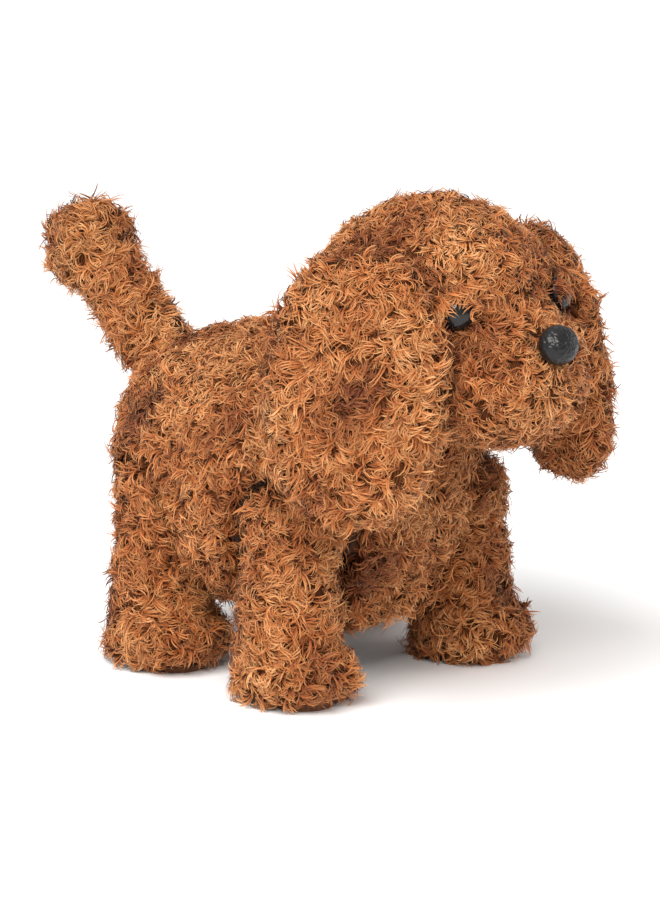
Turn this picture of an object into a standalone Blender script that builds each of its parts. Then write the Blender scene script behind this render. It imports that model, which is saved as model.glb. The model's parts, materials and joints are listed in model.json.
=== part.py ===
"""Interactive plush puppy: fur cover, plastic chassis, walking gearbox, nodding head, wagging tail.

The puppy stands on the floor plane z = 0 and faces -Y, so its right side is -X. Sizes and places
are in millimetres, and MM turns them into metres where a mesh is made.
"""

import math

import bmesh
import bpy
from mathutils import Matrix, Vector

MM = 0.001
GAP = 0.3  # clearance between pieces that touch
NAME = "plush_puppy"

# Torso
BODY_CENTRE = (0, 8, 73)
BODY_HALF = (61, 68, 52)
BODY_POWER = 2.5
BELLY_LOW = (-27, -46, 21.6)  # fuller belly around the battery tray
BELLY_HIGH = (27, 44, 50)
COVER_THICKNESS = 8

# Head, with its nodding pivot at the neck
HEAD_CENTRE = (0, -63, 137)
HEAD_HALF = (48, 46, 45)
MUZZLE_CENTRE = (0, -99, 122)
MUZZLE_HALF = (33, 27, 26)
NECK_PIVOT = (0, -52, 112)
NECK_FOOT = (0, -30, 101)
NOD_DEG = 6
EYE_PLACE = (25.5, -99.5, 148)
EYE_FACING = (0.52, -0.82, 0.22)
EYE_RADIUS = 6.4
NOSE_PLACE = (0, -124, 136.5)
NOSE_FACING = (0, -0.96, 0.28)
NOSE_HALF = (8, 6, 7)

# Ears: flat lobes that hang from the top of the head
EAR_CENTRE = (50, -74, 120)
EAR_HALF = (11, 34, 47)
EAR_YAW_DEG = 20
EAR_LEAN_DEG = 9

# Tail
TAIL_PIVOT = (0, 62, 83)
TAIL_DIRECTION = (0, 0.74, 0.6726)
TAIL_BALL_AT = 85
TAIL_BALL_RADIUS = 17.5
TAIL_RADIUS = 13
WAG_DEG = 15

# Legs
LEG_X = 45
HIP_Y = 34.5
HIP_Z = 62
LEG_RADIUS = 21.4  # at the foot
THIGH_RADIUS = 18.5
THIGH_SPAN = (24.5, 58.5)  # inner and outer X of the thigh's round top
LEG_SWING_DEG = 12
ARM_LENGTH = 10
PAW_FORWARD = 7
SOLE_THICKNESS = 2.2

# Chassis and side mechanism, in layers out from the middle
CHASSIS_HALF_WIDTH = 20
CHASSIS_REAR = 46
CHASSIS_FRONT = -40
CHASSIS_LOW = 42.3
CHASSIS_TOP = 96
CHASSIS_WALL = 1.6
SCREW_PLACES = ((-35, 91), (41.5, 52))  # Y and Z
SPEAKER_Z = 77
ARM_LAYER = (20.6, 22.1)
BAR_LAYER = (22.5, 24.0)

# Gear train: one motor pinion, two compound gears and the crank gear, all turning about X
MODULE = 0.5
SMALL_TEETH = 12
LARGE_TEETH = 36
BACKLASH = 0.13
PRESSURE_ANGLE = math.radians(20)
CENTRE_DISTANCE = MODULE * (SMALL_TEETH + LARGE_TEETH) / 2
CRANK_AXIS = (2, HIP_Z)
TRAIN_ANGLES_DEG = (30, 20, 40)
CRANK_RADIUS = ARM_LENGTH * math.sin(math.radians(LEG_SWING_DEG))
SHAFT_RADIUS = 1.5
AXLE_RADIUS = 1.0

# Battery compartment: two AA cells side by side
CELL_RADIUS = 7.25
CELL_LENGTH = 49.5
CELL_X = 7.7
CELL_Z = 31.2
TRAY_LOW = (-17.6, -38, 22.9)
TRAY_HIGH = (17.6, 36, 41.9)
TRAY_WALL = 1.5
BAY_FRONT = -22
BAY_REAR = TRAY_HIGH[1] - TRAY_WALL
DOOR_LOW = (-17.3, -22.8, 20.8)
DOOR_HIGH = (17.3, 35.6, 22.6)
SWITCH_Y = -31.8
SWITCH_TRAVEL = 4

ORIGIN_SHIFT = -6.2  # in Y, so that the finished puppy's box is centred on the origin

SIDES = (("right", -1), ("left", 1))
ENDS = (("front", -1), ("rear", 1))


# ---------------------------------------------------------------------------------------------
# Scene, materials and shapes


def clear_scene():
    for thing in list(bpy.data.objects):
        bpy.data.objects.remove(thing, do_unlink=True)
    for group in list(bpy.data.collections):
        bpy.data.collections.remove(group)


def new_collection(name):
    group = bpy.data.collections.new(name)
    bpy.context.scene.collection.children.link(group)
    return group


def material(name, colour, roughness, metallic=0.0):
    """The named Principled material, made at its first use."""
    found = bpy.data.materials.get(name)
    if found:
        return found
    made = bpy.data.materials.new(name)
    made.use_nodes = True
    shader = made.node_tree.nodes["Principled BSDF"]
    shader.inputs["Base Color"].default_value = (*colour, 1.0)
    shader.inputs["Roughness"].default_value = roughness
    shader.inputs["Metallic"].default_value = metallic
    return made


def plush():
    return material("caramel_plush", (0.50, 0.20, 0.06), 0.95)


def wadding():
    return material("polyester_wadding", (0.85, 0.84, 0.80), 1.0)


def dark_plastic():
    return material("dark_abs", (0.05, 0.055, 0.055), 0.5)


def white_plastic():
    return material("white_abs", (0.80, 0.80, 0.77), 0.45)


def nylon():
    return material("natural_nylon", (0.78, 0.74, 0.62), 0.4)


def black_gloss():
    return material("gloss_black", (0.01, 0.01, 0.01), 0.12)


def steel():
    return material("bright_steel", (0.62, 0.62, 0.64), 0.25, 1.0)


def rubber():
    return material("brown_rubber", (0.16, 0.07, 0.03), 0.8)


def place(name, mesh, surface, group=None):
    """One object in the parts collection, or in the group given, with smooth round faces."""
    thing = bpy.data.objects.new(name, mesh)
    mesh.materials.append(surface)
    mesh.shade_smooth()
    mesh.set_sharp_from_angle(angle=math.radians(35))
    (group or PARTS).objects.link(thing)
    return thing


def mesh_from(build, matrix=None):
    """A mesh from a function that fills a bmesh in millimetres, scaled into metres."""
    work = bmesh.new()
    build(work)
    if matrix is not None:
        bmesh.ops.transform(work, matrix=matrix, verts=work.verts)
    bmesh.ops.scale(work, vec=(MM, MM, MM), verts=work.verts)
    mesh = bpy.data.meshes.new("shape")
    work.to_mesh(mesh)
    work.free()
    return mesh


def box_mesh(low, high, bevel=0.0, segments=2, matrix=None):
    size = [h - l for l, h in zip(low, high)]
    middle = [(h + l) / 2 for l, h in zip(low, high)]

    def build(work):
        stretch = Matrix.Translation(middle) @ Matrix.Diagonal((*size, 1))
        bmesh.ops.create_cube(work, size=1, matrix=stretch)
        if bevel:
            bmesh.ops.bevel(work, geom=work.edges[:], offset=bevel, segments=segments, profile=0.5,
                            affect="EDGES")

    return mesh_from(build, matrix)


def rod_mesh(start, end, radius, sides=20, end_radius=None, matrix=None):
    """A cylinder, or a cone, from one point to another."""
    start, end = Vector(start), Vector(end)
    along = end - start
    turn = along.to_track_quat("Z", "Y").to_matrix().to_4x4()
    place_it = Matrix.Translation((start + end) / 2) @ turn

    def build(work):
        bmesh.ops.create_cone(work, cap_ends=True, segments=sides, radius1=radius,
                              radius2=radius if end_radius is None else end_radius,
                              depth=along.length, matrix=place_it)

    return mesh_from(build, matrix)


def blob_mesh(centre, half, power=2.0, sides=24, rings=12, matrix=None):
    """A superellipsoid: a ball at power 2, and squarer above that."""

    def squared(value):
        return math.copysign(abs(value) ** (2 / power), value)

    def build(work):
        bmesh.ops.create_uvsphere(work, u_segments=sides, v_segments=rings, radius=1)
        for vertex in work.verts:
            flat = math.hypot(vertex.co.x, vertex.co.y)
            across = squared(flat)
            cos, sin = (vertex.co.x / flat, vertex.co.y / flat) if flat > 1e-9 else (0, 0)
            vertex.co = Vector((
                centre[0] + half[0] * across * squared(cos),
                centre[1] + half[1] * across * squared(sin),
                centre[2] + half[2] * squared(vertex.co.z),
            ))

    return mesh_from(build, matrix)


def hull_mesh(meshes):
    """The convex hull of some meshes, such as one part at several places along its travel."""
    work = bmesh.new()
    for mesh in meshes:
        for vertex in mesh.vertices:
            work.verts.new(vertex.co)
    found = bmesh.ops.convex_hull(work, input=work.verts[:])
    inside = [item for item in found["geom_interior"] if isinstance(item, bmesh.types.BMVert)]
    bmesh.ops.delete(work, geom=inside, context="VERTS")
    bmesh.ops.recalc_face_normals(work, faces=work.faces)
    mesh = bpy.data.meshes.new("hull")
    work.to_mesh(mesh)
    work.free()
    return mesh


def part_box(name, surface, low, high, bevel=0.0, matrix=None):
    return place(name, box_mesh(low, high, bevel, matrix=matrix), surface)


def part_rod(name, surface, start, end, radius, sides=20, matrix=None):
    return place(name, rod_mesh(start, end, radius, sides, matrix=matrix), surface)


def tool(mesh, name="cutter"):
    """A helper solid for a Boolean: not a part, so it is kept out of the parts collection."""
    thing = place(name, mesh, dark_plastic(), CUTTERS)
    thing.hide_render = True
    thing.display_type = "WIRE"
    return thing


def boolean(thing, mesh, operation):
    modifier = thing.modifiers.new(operation.lower(), "BOOLEAN")
    modifier.operation = operation
    modifier.solver = "EXACT"
    modifier.object = tool(mesh)


def cut(thing, *meshes):
    for mesh in meshes:
        boolean(thing, mesh, "DIFFERENCE")


def fuse(thing, *meshes):
    for mesh in meshes:
        boolean(thing, mesh, "UNION")


def curve_object(name, surface, points, radius, resolution=2):
    """A round wire through the points, with filled caps."""
    curve = bpy.data.curves.new(name, "CURVE")
    curve.dimensions = "3D"
    curve.bevel_depth = radius * MM
    curve.bevel_resolution = resolution
    curve.use_fill_caps = True
    spline = curve.splines.new("POLY")
    spline.points.add(len(points) - 1)
    for point, spot in zip(spline.points, points):
        point.co = (*(Vector(spot) * MM), 1)
    curve.materials.append(surface)
    thing = bpy.data.objects.new(name, curve)
    PARTS.objects.link(thing)
    return thing


def smooth_route(points, steps=6):
    """Points on a Catmull-Rom curve through the given ones."""
    knots = [Vector(p) for p in points]
    knots = [2 * knots[0] - knots[1]] + knots + [2 * knots[-1] - knots[-2]]
    route = []
    for a, b, c, d in zip(knots, knots[1:], knots[2:], knots[3:]):
        for step in range(steps):
            t = step / steps
            route.append(0.5 * (2 * b + (c - a) * t + (2 * a - 5 * b + 4 * c - d) * t ** 2
                                + (3 * b - a - 3 * c + d) * t ** 3))
    return route + [knots[-2]]


def mirrored(point, side):
    return (point[0] * side, point[1], point[2])


def turn_about(point, axis, degrees):
    """A turn about an axis through a point, in millimetres."""
    there = Matrix.Translation(Vector(point))
    return there @ Matrix.Rotation(math.radians(degrees), 4, Vector(axis)) @ there.inverted()


# ---------------------------------------------------------------------------------------------
# Swept volumes: the room that each moving part needs in the torso cover


def hip(end):
    return (0, end * HIP_Y, HIP_Z)


def leg_sweep(side, end, extra):
    """The leg from one limit to the other, with some room around it."""
    inner, outer = THIGH_SPAN[0] - extra, THIGH_SPAN[1] + 30
    wide = THIGH_RADIUS + extra
    middle = end * HIP_Y
    x_low, x_high = sorted((side * inner, side * outer))
    shapes = [rod_mesh((x_low, middle, HIP_Z), (x_high, middle, HIP_Z), wide, 24)]
    for degrees in (-LEG_SWING_DEG, LEG_SWING_DEG):
        shapes.append(box_mesh((x_low, middle - wide, -20), (x_high, middle + wide, HIP_Z - 5),
                               matrix=turn_about(hip(end), (1, 0, 0), degrees)))
    return hull_mesh(shapes)


def head_sweep(extra):
    """The head's ball at both ends of its nod."""
    half = [h + extra for h in HEAD_HALF]
    return hull_mesh([blob_mesh(HEAD_CENTRE, half, matrix=turn_about(NECK_PIVOT, (1, 0, 0), degrees))
                      for degrees in (-NOD_DEG, NOD_DEG)])


def neck_passage(radius):
    """The way down through head and torso for the neck post."""
    back = (Vector(NECK_FOOT) - Vector(NECK_PIVOT)).normalized()
    return rod_mesh(Vector(NECK_PIVOT) - 4 * back, Vector(NECK_PIVOT) + 42 * back, radius, 20)


def tail_sweep(radius):
    """The root of the tail from one side of its wag to the other."""
    return hull_mesh([rod_mesh((0, -16, 0), (0, 60, 0), radius, 20,
                               matrix=TAIL_FRAME @ Matrix.Rotation(math.radians(degrees), 4, "Z"))
                      for degrees in (-WAG_DEG, WAG_DEG)])


# ---------------------------------------------------------------------------------------------
# Torso


def make_torso():
    cover = place("body_cover", blob_mesh(BODY_CENTRE, BODY_HALF, BODY_POWER, 28, 14), plush())
    fuse(cover, box_mesh(BELLY_LOW, BELLY_HIGH, 7, 3))
    inner = [h - COVER_THICKNESS for h in BODY_HALF]
    cut(cover, blob_mesh(BODY_CENTRE, inner, BODY_POWER, 20, 10))
    cut(cover, box_mesh((-19.2, -39.6, 0), (19.2, 37.6, 50)))

    stuffing = [h - COVER_THICKNESS - GAP for h in BODY_HALF]
    filling = place("body_wadding", blob_mesh(BODY_CENTRE, stuffing, BODY_POWER, 20, 10), wadding())
    cut(filling, box_mesh((-24.4, -42, 0), (24.4, 49, 99)))
    cut(filling, box_mesh((-9, 40, 66), (9, 90, 98)))

    for thing, extra in ((cover, 1.0), (filling, 1.6)):
        for side in (-1, 1):
            for end in (-1, 1):
                cut(thing, leg_sweep(side, end, extra))
        cut(thing, head_sweep(1.0 + extra), neck_passage(15 + extra), tail_sweep(TAIL_RADIUS + extra))


# ---------------------------------------------------------------------------------------------
# Chassis


def chassis_half(name, side):
    """One half of the plastic casing: a rounded box, open on the middle plane."""
    low = (-CHASSIS_HALF_WIDTH, CHASSIS_FRONT, CHASSIS_LOW)
    high = (CHASSIS_HALF_WIDTH, CHASSIS_REAR, CHASSIS_TOP)
    shell = place(f"chassis_{name}_shell", box_mesh(low, high, 4, 2), dark_plastic())
    wall = CHASSIS_WALL
    cut(shell, box_mesh([l + wall for l in low], [h - wall for h in high], 2.6, 2))
    beyond_low, beyond_high = sorted((-side * 60, side * GAP / 2))
    cut(shell, box_mesh((beyond_low, -60, 20), (beyond_high, 60, 120)))

    outside, inside = side * CHASSIS_HALF_WIDTH, side * (CHASSIS_HALF_WIDTH - 7)
    for end in (-1, 1):
        y, z = end * HIP_Y, HIP_Z
        fuse(shell, rod_mesh((inside, y, z), (outside - side * 0.8, y, z), 3.6, 16))
        cut(shell, rod_mesh((inside - side, y, z), (outside + side, y, z), SHAFT_RADIUS + GAP, 12))
    cut(shell, rod_mesh((inside, *CRANK_AXIS), (outside + side, *CRANK_AXIS), SHAFT_RADIUS + 0.5, 16))
    for y, z in SCREW_PLACES:
        fuse(shell, rod_mesh((side * GAP / 2, y, z), (outside - side * 0.8, y, z), 2.8, 14))
        cut(shell, rod_mesh((-side * 3, y, z), (outside + side, y, z), 1.3 + 0.2, 12))
    cut(shell, box_mesh((-15, -34, CHASSIS_LOW - 1), (15, -27, CHASSIS_LOW + wall + 1)))
    for row in range(-2, 3):
        z = SPEAKER_Z + 3.6 * row
        cut(shell, box_mesh((-7, CHASSIS_FRONT - 1, z - 0.8), (7, CHASSIS_FRONT + wall + 1, z + 0.8)))


def make_chassis():
    for name, side in SIDES:
        chassis_half(name, side)
    for index, (y, z) in enumerate(SCREW_PLACES, 1):
        under_head = CHASSIS_HALF_WIDTH + 0.25
        screw = part_rod(f"chassis_screw_{index}", steel(), (-13, y, z), (under_head + 0.05, y, z), 1.2, 12)
        fuse(screw, rod_mesh((under_head, y, z), (under_head + 1.65, y, z), 2.3, 16))
    for name, end in ENDS:
        y = end * HIP_Y
        part_rod(f"hip_axle_{name}", steel(), (-40, y, HIP_Z), (40, y, HIP_Z), SHAFT_RADIUS, 12)


def make_neck_post():
    post = part_rod("neck_post", white_plastic(), NECK_FOOT, NECK_PIVOT, 4.2, 16)
    x, y, z = NECK_PIVOT
    fuse(post, box_mesh((-9, -38, CHASSIS_TOP + GAP), (9, -22, CHASSIS_TOP + GAP + 2.4), 0.6, 1))
    fuse(post, rod_mesh((-5.5, y, z), (5.5, y, z), 5.2, 20))
    cut(post, rod_mesh((-9, y, z), (9, y, z), SHAFT_RADIUS + GAP, 12))
    part_rod("neck_pin", steel(), (-11.5, y, z), (11.5, y, z), SHAFT_RADIUS, 12)


# ---------------------------------------------------------------------------------------------
# Batteries and switch


def make_battery_box():
    tray = place("battery_tray", box_mesh(TRAY_LOW, TRAY_HIGH, 0.8, 1), dark_plastic())
    side_in, top_in = TRAY_HIGH[0] - TRAY_WALL, TRAY_HIGH[2] - TRAY_WALL
    cut(tray, box_mesh((-side_in, BAY_FRONT, 20), (side_in, BAY_REAR, top_in)))
    bay_low = TRAY_LOW[2] + TRAY_WALL
    cut(tray, box_mesh((-side_in, TRAY_LOW[1] + TRAY_WALL, bay_low),
                       (side_in, BAY_FRONT - TRAY_WALL, 60)))
    cut(tray, box_mesh((-2.6, SWITCH_Y - 2.4, 20), (2.6, SWITCH_Y + 2.4 + SWITCH_TRAVEL, 30)))

    back_of_cell = BAY_FRONT + 1.2
    for name, side in SIDES:
        # The two cells point opposite ways, so each spring sits at the other end of the bay.
        x = side * CELL_X
        start = back_of_cell if side > 0 else BAY_REAR - 1.2
        step = 1 if side > 0 else -1
        tip = start + step * 1.2
        cell = part_rod(f"battery_cell_{name}", material("cell_jacket", (0.03, 0.20, 0.10), 0.35, 0.4),
                        (x, tip, CELL_Z), (x, tip + step * CELL_LENGTH, CELL_Z), CELL_RADIUS, 32)
        fuse(cell, rod_mesh((x, tip - step, CELL_Z), (x, tip + step, CELL_Z), 2.6, 16))
        far = tip + step * (CELL_LENGTH + 0.5)
        room = abs((BAY_REAR if side > 0 else BAY_FRONT) - far) - 1.2
        turns, points = 2.5, 18
        coil = []
        for index in range(points + 1):
            share = index / points
            angle = share * turns * 2 * math.pi
            radius = 2.4 + 1.8 * share
            coil.append((x + radius * math.cos(angle), far + step * room * share,
                         CELL_Z + radius * math.sin(angle)))
        curve_object(f"contact_spring_{name}", steel(), coil, 0.35)

    door = place("battery_door", box_mesh(DOOR_LOW, DOOR_HIGH, 0.5, 1), dark_plastic())
    for rib in range(5):
        y = 4 + 5 * rib
        cut(door, box_mesh((-9, y, DOOR_LOW[2] - 1), (9, y + 1.6, DOOR_LOW[2] + 0.6)))
    screw_y = DOOR_LOW[1] + 5
    cut(door, rod_mesh((0, screw_y, DOOR_LOW[2] - 1), (0, screw_y, DOOR_HIGH[2] + 1), 1.5, 16))
    cut(door, rod_mesh((0, screw_y, DOOR_LOW[2] - 1), (0, screw_y, DOOR_LOW[2] + 1.0), 2.9, 20))
    screw = part_rod("door_screw", steel(), (0, screw_y, DOOR_LOW[2] + 0.1),
                     (0, screw_y, DOOR_LOW[2] + 0.75), 2.5, 20)
    fuse(screw, rod_mesh((0, screw_y, DOOR_LOW[2] + 0.5), (0, screw_y, DOOR_HIGH[2] + 2.2), 1.1, 12))
    for low, high in (((-1.7, -0.3), (1.7, 0.3)), ((-0.3, -1.7), (0.3, 1.7))):
        cut(screw, box_mesh((low[0], screw_y + low[1], 20),
                            (high[0], screw_y + high[1], DOOR_LOW[2] + 0.4)))


def make_switch():
    """A slide switch in front of the battery door: the knob rests at off and slides back to on."""
    low = TRAY_LOW[2] + TRAY_WALL + GAP
    back = SWITCH_Y + SWITCH_TRAVEL
    housing = part_box("switch_housing", white_plastic(), (-6, SWITCH_Y - 3.6, low),
                       (6, back + 3.6, low + 6))
    cut(housing, box_mesh((-2.4, SWITCH_Y - 1.9, low - 1), (2.4, back + 1.9, low + 3.4)))
    knob = part_box("switch_knob", white_plastic(), (-1.9, SWITCH_Y - 1.5, TRAY_LOW[2] - 1.6),
                    (1.9, SWITCH_Y + 1.5, low + 2.8), 0.25)
    for rib in (-0.7, 0.3):
        cut(knob, box_mesh((-3, SWITCH_Y + rib, 20), (3, SWITCH_Y + rib + 0.4, TRAY_LOW[2] - 1.2)))


# ---------------------------------------------------------------------------------------------
# Gear train and cranks


def gear_outline(teeth, phase):
    """Outline of an involute spur gear, with a tooth centred on the phase angle."""
    pitch = MODULE * teeth / 2
    base = pitch * math.cos(PRESSURE_ANGLE)
    tip, root = pitch + 0.85 * MODULE, pitch - 1.15 * MODULE
    half_tooth = math.pi / (2 * teeth) - BACKLASH / (2 * pitch)
    at_pitch = math.tan(PRESSURE_ANGLE) - PRESSURE_ANGLE
    flank = []
    for radius in (max(root, base), pitch, tip):
        pressure = math.acos(min(1.0, base / radius))
        flank.append((radius, half_tooth + at_pitch - (math.tan(pressure) - pressure)))
    flank[0] = (root, flank[0][1])
    outline = []
    for tooth in range(teeth):
        middle = phase + tooth * 2 * math.pi / teeth
        for radius, angle in flank:
            outline.append((radius * math.cos(middle - angle), radius * math.sin(middle - angle)))
        for radius, angle in reversed(flank):
            outline.append((radius * math.cos(middle + angle), radius * math.sin(middle + angle)))
    return outline


def circle_outline(radius, sides=12):
    return [(radius * math.cos(2 * math.pi * i / sides), radius * math.sin(2 * math.pi * i / sides))
            for i in range(sides)]


def plate_mesh(outlines, axis, x_low, x_high):
    """A flat plate between two X planes, from outlines in Y and Z about an axis.

    Inner outlines are holes.
    """
    curve = bpy.data.curves.new("plate", "CURVE")
    curve.dimensions = "2D"
    curve.fill_mode = "BOTH"
    curve.extrude = (x_high - x_low) / 2 * MM
    for outline in outlines:
        spline = curve.splines.new("POLY")
        spline.points.add(len(outline) - 1)
        for point, (y, z) in zip(spline.points, outline):
            point.co = (y * MM, z * MM, 0, 1)
        spline.use_cyclic_u = True
    flat = bpy.data.objects.new("plate", curve)
    CUTTERS.objects.link(flat)
    bpy.context.view_layer.update()
    seen = flat.evaluated_get(bpy.context.evaluated_depsgraph_get())
    mesh = bpy.data.meshes.new_from_object(seen)
    bpy.data.objects.remove(flat)
    # The curve's own X, Y and Z become the puppy's Y, Z and X.
    turn = Matrix(((0, 0, 1, (x_high + x_low) / 2 * MM), (1, 0, 0, axis[0] * MM),
                   (0, 1, 0, axis[1] * MM), (0, 0, 0, 1)))
    work = bmesh.new()
    work.from_mesh(mesh)
    bmesh.ops.remove_doubles(work, verts=work.verts, dist=1e-6)
    bmesh.ops.transform(work, matrix=turn, verts=work.verts)
    bmesh.ops.recalc_face_normals(work, faces=work.faces)
    work.to_mesh(mesh)
    work.free()
    return mesh


def gear_mesh(teeth, phase, axis, x_low, x_high, bore):
    return plate_mesh([gear_outline(teeth, phase), circle_outline(bore)], axis, x_low, x_high)


def train_axes():
    """Axes in Y and Z from the crank to the motor, and the direction of each step."""
    axes, directions = [CRANK_AXIS], [math.radians(d) for d in TRAIN_ANGLES_DEG]
    for angle in directions:
        y, z = axes[-1]
        axes.append((y + CENTRE_DISTANCE * math.cos(angle), z + CENTRE_DISTANCE * math.sin(angle)))
    return axes, directions


def make_gear_train():
    (crank, second, first, motor), (to_second, to_first, to_motor) = train_axes()
    half_gap = math.pi / SMALL_TEETH

    # The crank gear, and its shaft with a disc and a pin at each end, half a turn apart.
    place("crank_gear", gear_mesh(LARGE_TEETH, to_second, crank, -2.2, 0.4, SHAFT_RADIUS + 0.1),
          nylon())
    reach = ARM_LAYER[0]
    shaft = part_rod("crank_shaft", steel(), (-reach - 0.5, *crank), (reach + 0.5, *crank), SHAFT_RADIUS, 12)
    for side in (-1, 1):
        fuse(shaft, rod_mesh((side * reach, *crank), (side * ARM_LAYER[1], *crank), 4.2, 24))
        y, z = crank[0], crank[1] - side * CRANK_RADIUS
        fuse(shaft, rod_mesh((side * (reach + 0.5), y, z), (side * BAR_LAYER[1], y, z), 1.2, 14))

    # Two compound gears: each pinion drives the wheel nearer the crank.
    bore = AXLE_RADIUS + GAP
    meshed = math.pi + half_gap
    lower = place("gear_second", gear_mesh(LARGE_TEETH, to_first, second, 1.6, 3.6, bore), nylon())
    fuse(lower, gear_mesh(SMALL_TEETH, to_second + meshed, second, -3.0, 1.9, bore))
    upper = place("gear_first", gear_mesh(LARGE_TEETH, to_motor, first, 5.0, 7.0, bore), nylon())
    fuse(upper, gear_mesh(SMALL_TEETH, to_first + meshed, first, 1.0, 5.3, bore))
    place("motor_pinion", gear_mesh(SMALL_TEETH, to_motor + meshed, motor, 4.6, 7.4, 0.8), nylon())

    # Motor, and the two plates that carry the axles.
    motor_end = 3.2
    can = part_rod("motor_can", steel(), (-14.0, *motor), (motor_end, *motor), 7.75, 28)
    fuse(can, rod_mesh((motor_end - 0.2, *motor), (7.6, *motor), 0.75, 12))
    fuse(can, rod_mesh((-16.8, *motor), (-13.8, *motor), 6.6, 24))
    for name, axis in (("second", second), ("first", first)):
        part_rod(f"gear_axle_{name}", steel(), (-6.4, *axis), (10.4, *axis), AXLE_RADIUS, 12)

    slope = math.degrees(math.atan2(motor[1] - crank[1], motor[0] - crank[0]))
    middle = ((crank[0] + motor[0]) / 2, (crank[1] + motor[1]) / 2)
    lean = turn_about((0, *middle), (1, 0, 0), slope)
    for name, x_low, x_high in (("base", -6.0, -4.4), ("cover", 8.4, 10.0)):
        long_half, wide_half = 24, 11.5
        plate = part_box(f"gearbox_{name}", white_plastic(),
                         (x_low, middle[0] - long_half, middle[1] - wide_half),
                         (x_high, middle[0] + long_half, middle[1] + wide_half), matrix=lean)
        for axis, radius in ((crank, SHAFT_RADIUS + 0.5), (second, AXLE_RADIUS + GAP),
                             (first, AXLE_RADIUS + GAP), (motor, 8.1 if name == "base" else 2.0)):
            cut(plate, rod_mesh((x_low - 1, *axis), (x_high + 1, *axis), radius, 16))
        if name == "base":
            for along, across in ((-23.4, 9.8), (21.5, -9)):
                y, z = middle[0] + along, middle[1] + across
                fuse(plate, rod_mesh((-5, y, z), (8.1, y, z), 1.2, 12, matrix=lean))


def make_drive_bars():
    """One bar on each side links the front and rear legs, and its window takes the crank pin.

    In the real toy a slot holds the pin. The loop is opened there, so the window is wide enough
    for the crank and the legs to be posed on their own.
    """
    pin_z = HIP_Z + ARM_LENGTH
    window = 4 * CRANK_RADIUS + 3.6
    for name, side in SIDES:
        low, high = sorted(side * x for x in BAR_LAYER)
        bar = place(f"drive_bar_{name}",
                    box_mesh((low, -HIP_Y - 4, pin_z - 2.4), (high, HIP_Y + 4, pin_z + 2.4)), nylon())
        y, z = CRANK_AXIS
        frame = window / 2 + 1.8
        fuse(bar, box_mesh((low, y - frame, z - frame), (high, y + frame, pin_z)))
        cut(bar, box_mesh((low - 1, y - window / 2, z - window / 2),
                          (high + 1, y + window / 2, z + window / 2)))
        for end in (-1, 1):
            cut(bar, rod_mesh((low - 1, end * HIP_Y, pin_z), (high + 1, end * HIP_Y, pin_z), 1.2 + GAP, 14))


# ---------------------------------------------------------------------------------------------
# Electronics


def make_electronics():
    board_z = 88
    board = part_box("circuit_board", material("green_board", (0.02, 0.16, 0.06), 0.5),
                     (-15, -31, board_z), (15, 13, board_z + 1.2))
    fuse(board, rod_mesh((0, -4, board_z + 1), (0, -4, board_z + 3.2), 5, 20))

    frame_front = CHASSIS_FRONT + CHASSIS_WALL + GAP
    rim = part_rod("speaker_frame", steel(), (0, frame_front, SPEAKER_Z),
                   (0, frame_front + 4.5, SPEAKER_Z), 10.8, 28)
    fuse(rim, rod_mesh((0, frame_front + 4, SPEAKER_Z), (0, frame_front + 9, SPEAKER_Z), 6.5, 24))
    cut(rim, rod_mesh((0, frame_front - 1, SPEAKER_Z), (0, frame_front + 3.6, SPEAKER_Z), 10.2, 28, 5.2))
    cone = place("speaker_cone",
                 rod_mesh((0, frame_front + 0.4, SPEAKER_Z), (0, frame_front + 3.2, SPEAKER_Z), 8.0, 28, 4.2),
                 material("paper_cone", (0.04, 0.04, 0.04), 0.9))
    cut(cone, rod_mesh((0, frame_front - 0.5, SPEAKER_Z), (0, frame_front + 2.4, SPEAKER_Z), 8.6, 28, 3.2))

    red, black = (0.55, 0.02, 0.02), (0.02, 0.02, 0.02)
    for name, colour, x in (("red", red, -13.5), ("black", black, 13.5)):
        lean = math.copysign(2.6, x)
        route = smooth_route([(x - lean, -30, 40.2), (x - lean, -30.4, 46), (x + lean, -29.2, 56),
                              (x + lean, -28, 70), (x + lean / 2, -26, 80), (x, -25, board_z - GAP)], 3)
        curve_object(f"battery_wire_{name}", material(f"{name}_sleeve", colour, 0.5), route, 0.7)


# ---------------------------------------------------------------------------------------------
# Legs


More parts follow.
